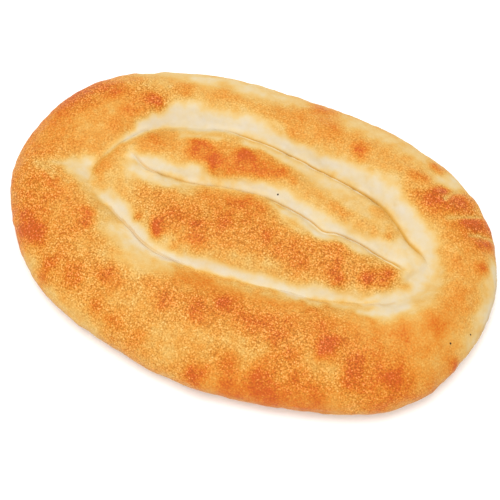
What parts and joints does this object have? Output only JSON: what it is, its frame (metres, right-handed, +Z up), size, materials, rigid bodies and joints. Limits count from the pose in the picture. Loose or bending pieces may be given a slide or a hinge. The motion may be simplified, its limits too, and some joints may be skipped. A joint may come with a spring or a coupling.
{
  "type": "matnakash",
  "caption": "Oval leavened flatbread with a browned crust, a puffed outer ring and long finger grooves that part the middle into strips.",
  "frame": {"origin": "on the surface the loaf lies on, under the middle of its box", "axes": "+X along the loaf's length, +Y across it towards the far strip, +Z up through the scored crust"},
  "size_m": [0.3298, 0.2222, 0.037],
  "materials": {
    "crust": "matte, browned and speckled where the dough stands high, pale cream in the grooves"
  },
  "bodies": {
    "root": {"loaf": "crust"}
  },
  "joints": []
}
